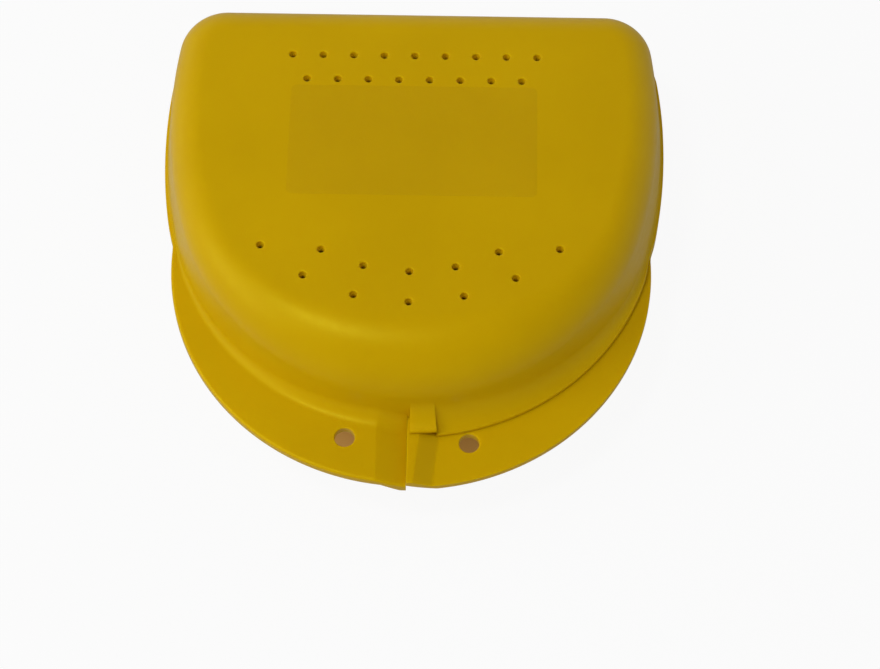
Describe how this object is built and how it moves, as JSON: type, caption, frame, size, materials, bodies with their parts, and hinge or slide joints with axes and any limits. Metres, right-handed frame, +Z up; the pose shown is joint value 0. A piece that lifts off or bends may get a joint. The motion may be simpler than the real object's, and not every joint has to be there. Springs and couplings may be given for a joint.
{
  "type": "denture case",
  "caption": "Rounded D-shaped denture case with a hinged lid, air holes, a clear label film and a crescent thumb flange whose halves click past each other.",
  "frame": {"origin": "middle of the footprint, on the table", "axes": "+Z up, -Y towards the front with the thumb flange, +X to the right as seen from the front"},
  "size_m": [0.0828, 0.087, 0.0302],
  "materials": {
    "yellow_polypropylene": "semi-gloss, slightly speckled",
    "clear_film": "clear, thin self-adhesive film"
  },
  "bodies": {
    "base": {"base": "yellow_polypropylene"},
    "lid": {"lid": "yellow_polypropylene", "label_film": "clear_film"}
  },
  "joints": [
    {"name": "lid_hinge", "type": "hinge", "parent": "base", "child": "lid", "pos_m": [0, 0.04135, 0.015], "axis": [-1, 0, 0], "range_deg": [0, 180]}
  ]
}
